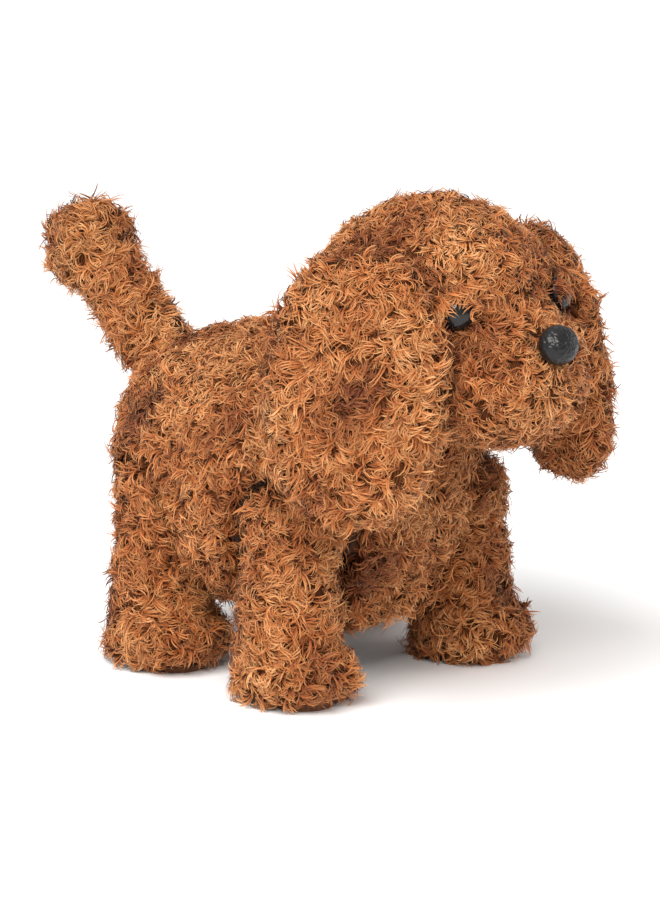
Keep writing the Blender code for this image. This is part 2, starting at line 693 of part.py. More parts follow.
def make_leg(side_name, side, end_name, end):
    name = f"{end_name}_{side_name}"
    x, y = side * LEG_X, end * HIP_Y
    toe = y - PAW_FORWARD
    link_z = HIP_Z + ARM_LENGTH

    def x_span(low, high):
        return sorted((side * low, side * high))

    def pad(radius, low, high):
        """A flat plate under the paw, with round ends."""
        return hull_mesh([rod_mesh((x, at, low), (x, at, high), radius, 28) for at in (toe - 2, y + 2)])

    def frame_shapes(room):
        """Boss, beam and foot plate of the leg frame, grown by some room."""
        beam_low, beam_high = x_span(LEG_X - 4 - room, LEG_X + 4 + room)
        return (
            rod_mesh((side * (ARM_LAYER[0] - room), y, HIP_Z), (side * (LEG_X + room), y, HIP_Z),
                     4 + room, 12),
            box_mesh((beam_low, y - 4 - room, 4), (beam_high, y + 4 + room, HIP_Z + 3 + room)),
            pad(9 + room, 2.6 - room, 5 + room),
        )

    boss, beam, foot = frame_shapes(0)
    frame = place(f"leg_frame_{name}", boss, white_plastic())
    fuse(frame, beam, foot)
    arm_low, arm_high = x_span(*ARM_LAYER)
    fuse(frame, box_mesh((arm_low, y - 3, HIP_Z), (arm_high, y + 3, link_z + 3)))
    fuse(frame, rod_mesh((side * (ARM_LAYER[0] + 0.4), y, link_z), (side * BAR_LAYER[1], y, link_z),
                         1.2, 14))
    cut(frame, rod_mesh((side * 18, y, HIP_Z), (side * 40.4, y, HIP_Z), SHAFT_RADIUS + GAP, 12))

    thigh_x, thigh_half = side * sum(THIGH_SPAN) / 2, (THIGH_SPAN[1] - THIGH_SPAN[0]) / 2
    cover = place(f"leg_cover_{name}",
                  blob_mesh((thigh_x, y, HIP_Z), (thigh_half, THIGH_RADIUS, THIGH_RADIUS), 2.2, 24, 12), plush())
    fuse(cover, rod_mesh((x, y - 0.1, 1.4), (x - side * 2.3, y + 0.4, HIP_Z - 8.5), LEG_RADIUS - 0.9, 24,
                         THIGH_RADIUS - 1.3))
    fuse(cover, blob_mesh((x, toe, 11.5), (LEG_RADIUS - 0.7, LEG_RADIUS - 1, 10.4), 2.4, 20, 8))
    cut(cover, *frame_shapes(0.4))
    cut(cover, pad(11.4, -0.4, SOLE_THICKNESS + 0.4))
    place(f"sole_{name}", pad(11, 0, SOLE_THICKNESS), rubber())


# ---------------------------------------------------------------------------------------------
# Head and ears


def stud_frame(place_at, facing):
    """A frame whose Z points out of the face at an eye or the nose."""
    turn = Vector(facing).to_track_quat("Z", "Y").to_matrix().to_4x4()
    return Matrix.Translation(Vector(place_at)) @ turn


def make_face_stud(name, dome_half, frame, cover, skull):
    """A bead on a stem through the cover, with its locking washer behind."""
    bead = place(name, blob_mesh((0, 0, 0), dome_half, 2, 14, 7, matrix=frame), black_gloss())
    fuse(bead, rod_mesh((0, 0, -12.4), (0, 0, 0), 1.8, 10, matrix=frame))
    fuse(bead, rod_mesh((0, 0, -12.8), (0, 0, -11.2), 5, 14, matrix=frame))
    room = [h + 0.4 for h in dome_half]
    for thing in (cover, skull):
        cut(thing, blob_mesh((0, 0, 0), room, 2, 12, 6, matrix=frame))
        cut(thing, rod_mesh((0, 0, -14), (0, 0, 2), 2.3, 10, matrix=frame))
        cut(thing, rod_mesh((0, 0, -16), (0, 0, -10.4), 5.5, 14, matrix=frame))


def make_head():
    inner = [h - COVER_THICKNESS for h in HEAD_HALF]
    muzzle_inner = [h - COVER_THICKNESS for h in MUZZLE_HALF]
    cover = place("head_cover", blob_mesh(HEAD_CENTRE, HEAD_HALF, 2, 28, 14), plush())
    fuse(cover, blob_mesh(MUZZLE_CENTRE, MUZZLE_HALF, 2, 20, 10))
    cut(cover, blob_mesh(HEAD_CENTRE, inner, 2, 20, 10), blob_mesh(MUZZLE_CENTRE, muzzle_inner, 2, 16, 8))
    cut(cover, neck_passage(15))

    outer = [h - GAP - 0.3 for h in inner]
    hollow = [h - 2.4 for h in outer]
    halves = {}
    for name, low, high in (("front", HEAD_CENTRE[1], 60), ("rear", -200, HEAD_CENTRE[1] + GAP)):
        skull = place(f"skull_{name}", blob_mesh(HEAD_CENTRE, outer, 2, 20, 10), white_plastic())
        cut(skull, blob_mesh(HEAD_CENTRE, hollow, 2, 16, 8))
        cut(skull, box_mesh((-80, low, 60), (80, high, 220)))
        cut(skull, neck_passage(15))
        halves[name] = skull

    for name, side in SIDES:
        frame = stud_frame(mirrored(EYE_PLACE, side), mirrored(EYE_FACING, side))
        make_face_stud(f"eye_{name}", (EYE_RADIUS, EYE_RADIUS, 5.0), frame, cover, halves["front"])
    frame = stud_frame(NOSE_PLACE, NOSE_FACING)
    make_face_stud("nose", (NOSE_HALF[0], NOSE_HALF[2], NOSE_HALF[1]), frame, cover, halves["front"])

    # Yoke: a bridge across the back of the skull, with two cheeks down to the neck pin.
    x, y, z = NECK_PIVOT
    yoke = halves["rear"]
    fuse(yoke, box_mesh((-9.4, y - 5, z + 11.5), (9.4, y + 22, z + 14.5)))
    for side in (-1, 1):
        low, high = sorted((side * 6.4, side * 9.4))
        fuse(yoke, box_mesh((low, y - 5, z - 5), (high, y + 4, z + 12.5)))
    cut(yoke, rod_mesh((-12, y, z), (12, y, z), SHAFT_RADIUS + GAP, 12))


def make_ear(name, side):
    """A flat lobe whose inner face follows the head."""
    lean = Matrix.Rotation(math.radians(-side * EAR_LEAN_DEG), 4, "Y")
    yaw = Matrix.Rotation(math.radians(-side * EAR_YAW_DEG), 4, "Z")
    where = Matrix.Translation(mirrored(EAR_CENTRE, side)) @ yaw @ lean
    ear = place(f"ear_{name}", blob_mesh((0, 0, 0), EAR_HALF, 2.3, 18, 12, matrix=where), plush())
    cut(ear, blob_mesh(HEAD_CENTRE, [h + 0.8 for h in HEAD_HALF], 2, 28, 14))


# ---------------------------------------------------------------------------------------------
# Tail


def make_tail():
    """Built along Y from the wag pivot, in the tail's own frame."""
    base_y = CHASSIS_REAR + GAP
    bracket = part_box("tail_bracket", white_plastic(), (-7, base_y, 68), (7, base_y + 2.2, 86), 0.4)
    fuse(bracket, box_mesh((-4.6, base_y + 1, 72), (4.6, 52, 81)))
    fuse(bracket, box_mesh((-5, -13, -6), (5, -9, 6), matrix=TAIL_FRAME))
    for side in (-1, 1):
        low, high = sorted((side * 3.8, side * 6))
        fuse(bracket, box_mesh((-5, -12, low), (5, 4, high), matrix=TAIL_FRAME))
    cut(bracket, rod_mesh((0, 0, -8), (0, 0, 8), SHAFT_RADIUS + GAP, 12, matrix=TAIL_FRAME))
    part_rod("tail_pin", steel(), (0, 0, -7), (0, 0, 7), SHAFT_RADIUS, 14, matrix=TAIL_FRAME)

    lever = part_rod("tail_lever", white_plastic(), (0, 0, -3.4), (0, 0, 3.4), 3.8, 18, matrix=TAIL_FRAME)
    fuse(lever, rod_mesh((0, 0, 0), (0, 18, 0), 2.6, 14, matrix=TAIL_FRAME))
    fuse(lever, rod_mesh((0, 17, 0), (0, TAIL_BALL_AT - 2, 0), 1.7, 12, matrix=TAIL_FRAME))
    cut(lever, rod_mesh((0, 0, -8), (0, 0, 8), SHAFT_RADIUS + GAP, 12, matrix=TAIL_FRAME))

    cover = place("tail_cover",
                  rod_mesh((0, 7, 0), (0, TAIL_BALL_AT, 0), TAIL_RADIUS, 18, matrix=TAIL_FRAME), plush())
    ball = (TAIL_BALL_RADIUS, TAIL_BALL_RADIUS, TAIL_BALL_RADIUS)
    fuse(cover, blob_mesh((0, TAIL_BALL_AT, 0), ball, 2, 18, 10, matrix=TAIL_FRAME))
    cut(cover, rod_mesh((0, 0, 0), (0, TAIL_BALL_AT - 1.6, 0), 3.1, 10, matrix=TAIL_FRAME))


# ---------------------------------------------------------------------------------------------
# Build

clear_scene()
PARTS = new_collection(NAME)
CUTTERS = new_collection("cutters")
_along = Vector(TAIL_DIRECTION).normalized()
_up = Vector((1, 0, 0)).cross(_along)
TAIL_FRAME = Matrix.Translation(Vector(TAIL_PIVOT)) @ Matrix(
    ((1, _along.x, _up.x, 0), (0, _along.y, _up.y, 0), (0, _along.z, _up.z, 0), (0, 0, 0, 1)))

make_torso()
make_chassis()
make_neck_post()
make_battery_box()
make_switch()
make_gear_train()
make_drive_bars()
make_electronics()
for side_name, side_sign in SIDES:
    for end_name, end_sign in ENDS:
        make_leg(side_name, side_sign, end_name, end_sign)
make_head()
for side_name, side_sign in SIDES:
    make_ear(side_name, side_sign)
make_tail()
for thing in (*PARTS.objects, *CUTTERS.objects):
    thing.location.y = ORIGIN_SHIFT * MM
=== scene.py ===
"""Looks of the plush puppy: curly fur over padded skins, glossy eyes and nose, moulded plastic parts.

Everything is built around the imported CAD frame, in its coordinates. Lengths are in metres, and MM
turns millimetres into them. The fur is real geometry: locks of thin curled ribbons.
"""

import json
import math

import bmesh
import bpy
import numpy as np
from mathutils import Matrix, Vector
from mathutils.bvhtree import BVHTree
from mathutils.kdtree import KDTree


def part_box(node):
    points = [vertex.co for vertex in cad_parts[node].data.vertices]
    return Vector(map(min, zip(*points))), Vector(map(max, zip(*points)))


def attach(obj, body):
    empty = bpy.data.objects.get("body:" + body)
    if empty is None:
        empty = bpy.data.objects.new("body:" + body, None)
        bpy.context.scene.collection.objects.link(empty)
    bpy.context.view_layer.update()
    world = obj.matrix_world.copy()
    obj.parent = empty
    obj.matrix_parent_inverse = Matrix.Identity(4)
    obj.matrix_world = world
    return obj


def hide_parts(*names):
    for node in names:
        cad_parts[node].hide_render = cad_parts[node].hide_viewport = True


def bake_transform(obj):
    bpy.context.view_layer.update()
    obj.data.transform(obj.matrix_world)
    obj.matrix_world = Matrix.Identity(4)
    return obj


MM = 0.001

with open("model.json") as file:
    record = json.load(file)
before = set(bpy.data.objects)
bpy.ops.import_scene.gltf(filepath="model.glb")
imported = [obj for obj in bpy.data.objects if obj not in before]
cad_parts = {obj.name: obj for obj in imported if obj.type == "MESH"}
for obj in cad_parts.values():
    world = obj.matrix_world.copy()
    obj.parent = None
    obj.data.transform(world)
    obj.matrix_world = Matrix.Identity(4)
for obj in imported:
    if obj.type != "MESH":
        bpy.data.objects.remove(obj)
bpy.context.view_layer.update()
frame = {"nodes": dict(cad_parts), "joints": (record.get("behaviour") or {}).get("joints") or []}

SIDES = (("right", -1), ("left", 1))
ENDS = (("front", -1), ("rear", 1))

# Fur
STRANDS_PER_LOCK = 5
STEPS = 5
WIDTH_PROFILE = (0.7, 0.95, 1.0, 0.9, 0.65)  # the tip comes to a point after these
LOCKS_PER_MM2 = 0.34
TUFT_AREA_MM2 = 34.0
FLOOR_CLEARANCE = 0.25 * MM
ROOT_DEPTH = 2.0 * MM
# Search margin round the other soft parts for the painted crease shade.
CREASE_SHADE_SEARCH = 9 * MM


# ---------------------------------------------------------------------------------------------
# Materials


class Nodes:
    """Builds a Principled material node by node."""

    def __init__(self, name):
        self.material = bpy.data.materials.new(name)
        self.material.use_nodes = True
        self.tree = self.material.node_tree
        self.shader = self.tree.nodes["Principled BSDF"]

    def add(self, kind, **settings):
        node = self.tree.nodes.new(kind)
        for key, value in settings.items():
            if key in node.inputs:
                node.inputs[key].default_value = value
            else:
                setattr(node, key, value)
        return node

    def link(self, source, target):
        self.tree.links.new(source, target)

    def set(self, **values):
        for key, value in values.items():
            self.shader.inputs[key.replace("_", " ")].default_value = value

    def coordinates(self):
        return self.add("ShaderNodeTexCoord").outputs["Object"]

    def noise(self, scale, detail=3.0, vector=None):
        node = self.add("ShaderNodeTexNoise", Scale=scale, Detail=detail)
        self.link(vector or self.coordinates(), node.inputs["Vector"])
        return node.outputs["Fac"]

    def ramp(self, factor, stops):
        node = self.add("ShaderNodeValToRGB")
        elements = node.color_ramp.elements
        while len(elements) < len(stops):
            elements.new(0.5)
        for element, (place, colour) in zip(elements, stops):
            element.position = place
            element.color = (*colour, 1.0)
        self.link(factor, node.inputs["Fac"])
        return node.outputs["Color"]

    def mix(self, factor, a, b, blend="MIX"):
        node = self.add("ShaderNodeMix", data_type="RGBA", blend_type=blend)
        for socket, value in ((node.inputs[0], factor), (node.inputs[6], a), (node.inputs[7], b)):
            if isinstance(value, (int, float)):
                socket.default_value = value
            elif isinstance(value, tuple):
                socket.default_value = (*value, 1.0)
            else:
                self.link(value, socket)
        return node.outputs[2]

    def colour(self, source):
        self.link(source, self.shader.inputs["Base Color"])

    def bump(self, height, distance, strength=1.0):
        node = self.add("ShaderNodeBump", Distance=distance, Strength=strength)
        self.link(height, node.inputs["Height"])
        self.link(node.outputs["Normal"], self.shader.inputs["Normal"])


def fur_material(name, root, body, tip):
    """Locks that go from a dark root to a pale tip, as painted shade deep in the pile and painted light on
    the tips, each lock with a tone of its own.
    """
    made = Nodes(name)
    channels = made.add("ShaderNodeSeparateColor")
    attribute = made.add("ShaderNodeAttribute", attribute_name="Fur")
    made.link(attribute.outputs["Color"], channels.inputs["Color"])
    along, tone, patch_tone_and_shade = channels.outputs
    # Root to tip: painted shade at the root, painted light at the tip.
    root_shade_to_tip_light = made.ramp(along, ((0.0, root), (0.45, body), (1.0, tip)))
    toned = made.mix(0.55, root_shade_to_tip_light, made.ramp(tone, ((0.0, (0.42, 0.32, 0.26)), (0.5, (1.0, 0.97, 0.94)),
                                                  (1.0, (1.45, 1.55, 1.8)))), "MULTIPLY")
    # The third channel multiplies in the patch tone, darkened by painted crease shade.
    patch_toned_and_shaded = made.mix(1.0, toned, made.ramp(patch_tone_and_shade, ((0.0, (0.26, 0.13, 0.08)), (0.55, (0.86, 0.72, 0.62)),
                                                     (1.0, (1.12, 1.2, 1.35)))), "MULTIPLY")
    made.colour(patch_toned_and_shaded)
    made.set(Roughness=0.62, Sheen_Weight=0.35, Sheen_Roughness=0.4, Sheen_Tint=(1.0, 0.78, 0.55, 1.0),
             Specular_IOR_Level=0.3)
    return made.material


def backing_material():
    """The knitted backing that the pile is rooted in; its knit is real and its dark brown is painted shade
    under the pile.
    """
    made = Nodes("knit_backing_painted_shade")
    weave = made.add("ShaderNodeTexWave", Scale=420.0, Distortion=3.0)
    made.link(made.coordinates(), weave.inputs["Vector"])
    tone = made.mix(0.5, made.noise(90.0), weave.outputs["Fac"])
    # Dark brown: painted shade under the pile.
    made.colour(made.ramp(tone, ((0.2, (0.05, 0.014, 0.004)), (0.8, (0.16, 0.05, 0.014)))))
    made.bump(weave.outputs["Fac"], 0.0004)
    made.set(Roughness=0.95, Specular_IOR_Level=0.1)
    return made.material


def plastic_material(name, low, high, roughness, grain=900.0):
    """Moulded plastic with a fine spark-eroded grain and faint handling marks."""
    made = Nodes(name)
    marks = made.noise(35.0, 5.0)
    made.colour(made.ramp(marks, ((0.3, low), (0.7, high))))
    rough = made.add("ShaderNodeMapRange")
    made.link(marks, rough.inputs["Value"])
    rough.inputs["To Min"].default_value = roughness - 0.06
    rough.inputs["To Max"].default_value = roughness + 0.08
    made.link(rough.outputs["Result"], made.shader.inputs["Roughness"])
    made.bump(made.noise(grain, 2.0), 0.00005, 0.6)
    return made.material


def metal_material(name, low, high, roughness):
    made = Nodes(name)
    brushed = made.add("ShaderNodeMapping", Scale=(900.0, 60.0, 900.0))
    made.link(made.coordinates(), brushed.inputs["Vector"])
    lines = made.noise(1.0, 4.0, brushed.outputs["Vector"])
    made.colour(made.ramp(lines, ((0.3, low), (0.7, high))))
    made.bump(lines, 0.00002, 0.4)
    made.set(Metallic=1.0, Roughness=roughness)
    return made.material


def gloss_material(name, pebbled):
    """Black moulded button: eyes are polished, the nose has a fine skin grain."""
    made = Nodes(name)
    marks = made.noise(120.0, 4.0)
    made.colour(made.ramp(marks, ((0.35, (0.004, 0.004, 0.005)), (0.75, (0.012, 0.011, 0.011)))))
    if pebbled:
        made.bump(made.noise(2600.0, 2.0), 0.00004, 0.5)
        made.set(Roughness=0.32, Specular_IOR_Level=0.3, Coat_Weight=0.12, Coat_Roughness=0.12)
    else:
        made.set(Roughness=0.08, Specular_IOR_Level=0.3, Coat_Weight=0.2, Coat_Roughness=0.03)
    return made.material


def cloth_material(name, low, high, scale=700.0):
    """Short woven cloth, for soles and wadding."""
    made = Nodes(name)
    weave = made.add("ShaderNodeTexVoronoi", Scale=scale)
    made.link(made.coordinates(), weave.inputs["Vector"])
    tone = made.mix(0.5, made.noise(60.0, 5.0), weave.outputs["Distance"])
    made.colour(made.ramp(tone, ((0.15, low), (0.7, high))))
    made.bump(weave.outputs["Distance"], 0.0003, 0.8)
    made.set(Roughness=0.9, Sheen_Weight=0.3, Sheen_Roughness=0.5)
    return made.material


# Root, middle and tip colours: the root is painted shade and the tip painted light.
FUR = fur_material("curly_fur_painted_light_and_shade", (0.13, 0.030, 0.006), (0.42, 0.135, 0.029), (0.66, 0.34, 0.128))
SHADED_BACKING = backing_material()
DARK_PLASTIC = plastic_material("dark_plastic", (0.028, 0.034, 0.034), (0.045, 0.052, 0.050), 0.42)
BROWN_PLASTIC = plastic_material("brown_plastic", (0.035, 0.012, 0.005), (0.055, 0.020, 0.009), 0.55)
WHITE_PLASTIC = plastic_material("white_plastic", (0.70, 0.70, 0.66), (0.80, 0.80, 0.77), 0.40)
NYLON = plastic_material("nylon", (0.66, 0.61, 0.49), (0.76, 0.72, 0.60), 0.34, 400.0)
STEEL = metal_material("steel", (0.48, 0.48, 0.50), (0.70, 0.70, 0.72), 0.26)
EYE_GLOSS = gloss_material("eye_gloss", False)
NOSE_GLOSS = gloss_material("nose_gloss", True)
SOLE_CLOTH = cloth_material("sole_cloth", (0.07, 0.022, 0.008), (0.20, 0.075, 0.028))
WADDING = cloth_material("wadding", (0.05, 0.018, 0.007), (0.12, 0.045, 0.018), 220.0)
BOARD = plastic_material("circuit_board_green", (0.012, 0.10, 0.035), (0.02, 0.18, 0.06), 0.38)
CONE = cloth_material("paper_cone", (0.015, 0.015, 0.015), (0.05, 0.05, 0.05), 500.0)
RED = plastic_material("red_sleeve", (0.42, 0.015, 0.015), (0.55, 0.03, 0.03), 0.4)
BLACK = plastic_material("black_sleeve", (0.012, 0.012, 0.012), (0.03, 0.03, 0.03), 0.4)
CELL = plastic_material("cell_jacket", (0.02, 0.16, 0.08), (0.03, 0.24, 0.12), 0.3)

NODE_MATERIALS = (
    (("battery_tray", "battery_door", "switch"), DARK_PLASTIC),
    (("chassis_right", "chassis_left", "leg_frame", "tail_bracket", "tail_lever",
      "neck_post"), BROWN_PLASTIC),
    (("chassis_screw", "door_screw", "hip_axle", "neck_pin", "gear_axle", "crank_shaft", "motor_can",
      "contact_spring", "tail_pin", "speaker_frame"), STEEL),
    (("gearbox", "skull"), WHITE_PLASTIC),
    (("gear_first", "gear_second", "crank_gear", "motor_pinion", "drive_bar"), NYLON),
    (("battery_cell",), CELL),
    (("circuit_board",), BOARD),
    (("speaker_cone",), CONE),
    (("battery_wire_red",), RED),
    (("battery_wire_black",), BLACK),
    (("body_wadding",), WADDING),
    (("sole",), SOLE_CLOTH),
    (("eye",), EYE_GLOSS),
    (("nose",), NOSE_GLOSS),
)


def dress_nodes():
    for name, node in frame["nodes"].items():
        for starts, surface in NODE_MATERIALS:
            if name.startswith(starts):
                node.data.materials.clear()
                node.data.materials.append(surface)


# ---------------------------------------------------------------------------------------------
# Meshes


def link_mesh(name, mesh, surface, smooth=True):
    mesh.materials.clear()
    mesh.materials.append(surface)
    if smooth:
        mesh.shade_smooth()
    thing = bpy.data.objects.new(name, mesh)
    bpy.context.scene.collection.objects.link(thing)
    return thing


def lumps(points, size, seed):
    """Smooth noise from -1 to 1, as a sum of waves that run in seeded directions."""
    rng = np.random.default_rng(seed)
    total = np.zeros(len(points))
    waves = 9
    for _ in range(waves):
        direction = rng.normal(size=3)
        direction /= np.linalg.norm(direction)
        total += np.sin(points @ direction * (2 * math.pi / (size * rng.uniform(0.7, 1.5)))
                        + rng.uniform(0, 2 * math.pi))
    return total / waves ** 0.5 / 1.2


def mesh_arrays(mesh):
    points = np.zeros(len(mesh.vertices) * 3)
    mesh.vertices.foreach_get("co", points)
    normals = np.zeros(len(mesh.vertices) * 3)
    mesh.vertices.foreach_get("normal", normals)
    return points.reshape(-1, 3), normals.reshape(-1, 3)


def padded_skin(name, node, body, voxel, depth, lump):
    """A soft skin from a CAD solid: remeshed, smoothed, sunk under the pile and made uneven."""
    source = frame["nodes"][node]
    mesh = source.data.copy()
    skin = link_mesh(name, mesh, SHADED_BACKING)
    remesh = skin.modifiers.new("remesh", "REMESH")
    remesh.mode = "VOXEL"
    remesh.voxel_size = voxel
    smooth = skin.modifiers.new("smooth", "SMOOTH")
    smooth.factor, smooth.iterations = 0.5, 6
    seen = skin.evaluated_get(bpy.context.evaluated_depsgraph_get())
    final = bpy.data.meshes.new_from_object(seen)
    skin.modifiers.clear()
    skin.data = final
    points, normals = mesh_arrays(final)
    shift = -depth + lump * lumps(points, 13 * MM, len(name))
    final.vertices.foreach_set("co", (points + normals * shift[:, None]).ravel())
    final.materials.clear()
    final.materials.append(SHADED_BACKING)
    final.shade_smooth()
    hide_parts(node)
    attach(skin, body)
    return skin


def lathe(name, profile, matrix, surface, stretch=(1.0, 1.0), sides=48):
    """A closed turned shape from (radius, height) pairs in millimetres, which start and end on the axis."""
    work = bmesh.new()
    rings = []
    for radius, height in profile:
        if radius == 0:
            rings.append([work.verts.new((0, 0, height))])
            continue
        rings.append([work.verts.new((radius * stretch[0] * math.cos(2 * math.pi * i / sides),
                                      radius * stretch[1] * math.sin(2 * math.pi * i / sides), height))
                      for i in range(sides)])
    for lower, upper in zip(rings, rings[1:]):
        for i in range(sides):
            j = (i + 1) % sides
            corners = [lower[i % len(lower)], lower[j % len(lower)],
                       upper[j % len(upper)], upper[i % len(upper)]]
            work.faces.new(list(dict.fromkeys(corners)))
    bmesh.ops.recalc_face_normals(work, faces=work.faces)
    bmesh.ops.scale(work, vec=(MM,) * 3, verts=work.verts)
    bmesh.ops.transform(work, matrix=matrix, verts=work.verts)
    mesh = bpy.data.meshes.new(name)
    work.to_mesh(mesh)
    work.free()
    return link_mesh(name, mesh, surface)


def dome_profile(radius, height, steps=14):
    """From the stem up over a rounded button to its tip, in millimetres."""
    points = []
    for step in range(1, steps):
        angle = -math.pi / 2 + math.pi * step / steps
        points.append((radius * math.cos(angle), height * math.sin(angle)))
    return points


def placed(at, facing):
    """The transform that puts a turned shape's foot at a point, with its axis along a direction."""
    return Matrix.Translation(at) @ facing.to_track_quat("Z", "Y").to_matrix().to_4x4()


def make_button(name, body, radius, height, at, facing, surface, stretch=(1.0, 1.0), pebble=0.0):
    """A moulded eye or nose button with its stem and locking washer."""
    matrix = placed(Vector(at) * MM, Vector(facing))
    washer = [(0, -12.8), (4.9, -12.8), (4.9, -11.4), (1.75, -11.4), (1.75, -height * 0.99)]
    profile = washer + dome_profile(radius, height, 40 if pebble else 20)[1:] + [(0, height)]
    button = lathe(name, profile, matrix, surface, stretch, 96 if pebble else 48)
    if pebble:
        mesh = button.data
        points, normals = mesh_arrays(mesh)
        local = (np.c_[points, np.ones(len(points))] @ np.array(matrix.inverted()).T)[:, :3]
        front = np.clip((local[:, 2] / MM + 1.0) / 2.0, 0, 1)
        seeds = np.random.default_rng(11).normal(size=(260, 3))
        seeds /= np.linalg.norm(seeds, axis=1)[:, None]
        direction = local / np.maximum(np.linalg.norm(local, axis=1), 1e-9)[:, None]
        near = np.sort(np.linalg.norm(direction[:, None] - seeds[None], axis=2), axis=1)[:, :2]
        cells = np.clip((near[:, 1] - near[:, 0]) / 0.10, 0, 1) ** 0.5
        shift = pebble * MM * (cells - 1.0) * front
        mesh.vertices.foreach_set("co", (points + normals * shift[:, None]).ravel())
        mesh.update()
    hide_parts(name.replace("_button", ""))
    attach(button, body)
    return button


# ---------------------------------------------------------------------------------------------
# Fur


def unit(vectors):
    return vectors / np.maximum(np.linalg.norm(vectors, axis=1), 1e-12)[:, None]


def turned(vectors, axes, angles):
    """Each vector turned about its own unit axis (Rodrigues)."""
    cos, sin = np.cos(angles)[:, None], np.sin(angles)[:, None]
    along = (vectors * axes).sum(1)[:, None]
    return vectors * cos + np.cross(axes, vectors) * sin + axes * along * (1 - cos)


def scatter(mesh, per_mm2, rng):
    """Random points on a mesh, with their normals, evenly by area."""
    mesh.calc_loop_triangles()
    corners = np.zeros(len(mesh.loop_triangles) * 3, int)
    mesh.loop_triangles.foreach_get("vertices", corners)
    corners = corners.reshape(-1, 3)
    points, normals = mesh_arrays(mesh)
    a, b, c = points[corners[:, 0]], points[corners[:, 1]], points[corners[:, 2]]
    area = np.linalg.norm(np.cross(b - a, c - a), axis=1) / 2
    count = int(area.sum() / MM ** 2 * per_mm2)
    chosen = np.searchsorted(np.cumsum(area), rng.uniform(0, area.sum(), count))
    chosen = np.minimum(chosen, len(area) - 1)
    u, v = rng.uniform(size=(2, count))
    flip = u + v > 1
    u[flip], v[flip] = 1 - u[flip], 1 - v[flip]
    w = 1 - u - v
    share = np.stack([w, u, v], axis=1)
    spots = (points[corners[chosen]] * share[:, :, None]).sum(1)
    facing = unit((normals[corners[chosen]] * share[:, :, None]).sum(1))
    return spots, facing


def outward_of(segment, least=0.35):
    """Keeps points whose normal faces away from a segment: drops the insides of a shell."""
    start, end = (np.array(p) * MM for p in segment)
    along = end - start
    length2 = max(float(along @ along), 1e-12)

    def keep(points, normals):
        t = np.clip((points - start) @ along / length2, 0, 1)
        away = unit(points - (start + t[:, None] * along))
        return (normals * away).sum(1) > least

    return keep


def nearest_tufts(points, rng):
    """For each point: the offset from its tuft's middle, and the way that the tuft lies."""
    count = max(8, int(len(points) / (LOCKS_PER_MM2 * TUFT_AREA_MM2)))
    middles = rng.choice(len(points), min(count, len(points)), replace=False)
    tree = KDTree(len(middles))
    for index, middle in enumerate(middles):
        tree.insert(points[middle], index)
    tree.balance()
    owner = np.array([tree.find(p)[1] for p in points])
    lie = rng.normal(size=(len(middles), 3))
    tone = rng.uniform(size=len(middles))
    return points - points[middles][owner], lie[owner], tone[owner]


def crease_shade(points, nodes, shade_reach):
    """From 0 to 1: how close each point is to the other soft parts; it sets the painted crease shade that
    darkens the fur beside them.
    """
    closest = np.full(len(points), 1.0)
    for node in nodes:
        corners, _ = mesh_arrays(frame["nodes"][node].data)
        low, high = corners.min(0) - CREASE_SHADE_SEARCH, corners.max(0) + CREASE_SHADE_SEARCH
        inside = np.all((points > low) & (points < high), axis=1)
        if not inside.any():
            continue
        faces = [tuple(face.vertices) for face in frame["nodes"][node].data.polygons]
        tree = BVHTree.FromPolygons(corners.tolist(), faces)
        found = np.array([tree.find_nearest(p)[3] for p in points[inside]])
        closest[inside] = np.minimum(closest[inside], found)
    return np.exp(-(closest / (shade_reach * MM)) ** 2)


def ribbon_mesh(name, lines, sides, half_width, colours):
    """One mesh of tapering ribbons. lines is (strands, points, 3) and sides gives each one's flat way."""
    strands, count = lines.shape[:2]
    pairs = count - 1
    profile = np.array(WIDTH_PROFILE)[None, :, None] * half_width[:, None, None]
    left = lines[:, :pairs] - sides[:, :pairs] * profile
    right = lines[:, :pairs] + sides[:, :pairs] * profile
    per = 2 * pairs + 1
    verts = np.concatenate([np.stack([left, right], axis=2).reshape(strands, 2 * pairs, 3), lines[:, -1:]],
                           axis=1).reshape(-1, 3)
    first = (np.arange(strands) * per)[:, None]
    quads = np.concatenate([np.array([2 * i, 2 * i + 1, 2 * i + 3, 2 * i + 2]) for i in range(pairs - 1)])
    tip = np.array([2 * pairs - 2, 2 * pairs - 1, 2 * pairs])
    loops = (first + np.concatenate([quads, tip])[None]).ravel()
    sizes = np.tile(np.array([4] * (pairs - 1) + [3]), strands)
    starts = np.concatenate([[0], np.cumsum(sizes)[:-1]])

    mesh = bpy.data.meshes.new(name)
    mesh.vertices.add(len(verts))
    mesh.vertices.foreach_set("co", verts.astype(np.float32).ravel())
    mesh.loops.add(len(loops))
    mesh.loops.foreach_set("vertex_index", loops.astype(np.int32))
    mesh.polygons.add(len(sizes))
    mesh.polygons.foreach_set("loop_start", starts.astype(np.int32))
    mesh.update(calc_edges=True)

    # Tone channels: place along the lock (painted shade at the root, painted light at the tip), the lock's
    # own tone, and the patch tone with painted crease shade.
    along = np.concatenate([np.repeat(np.linspace(0, 1, count)[:-1], 2), [1.0]])
    shades = np.ones((strands, per, 4), np.float32)
    shades[:, :, 0] = along
    shades[:, :, 1:3] = colours[:, None]
    layer = mesh.attributes.new("Fur", "FLOAT_COLOR", "POINT")
    layer.data.foreach_set("color", shades.ravel())

    # Each strand has a cell of its own on the OFBake UV sheet.
    columns = 8
    rows = math.ceil(strands / columns)
    index = np.arange(strands)
    cell_u, cell_v = (index % columns) / columns, (index // columns) / rows
    across = np.concatenate([np.tile([0.15, 0.85], pairs), [0.5]])
    local_u = 0.02 + 0.96 * along
    u = cell_u[:, None] + local_u[None] / columns
    v = cell_v[:, None] + across[None] / rows
    flat = np.stack([u, v], axis=2).reshape(-1, 2)[loops]
    mesh.uv_layers.new(name="OFBake").data.foreach_set("uv", flat.astype(np.float32).ravel())
    mesh.shade_smooth()
    return mesh


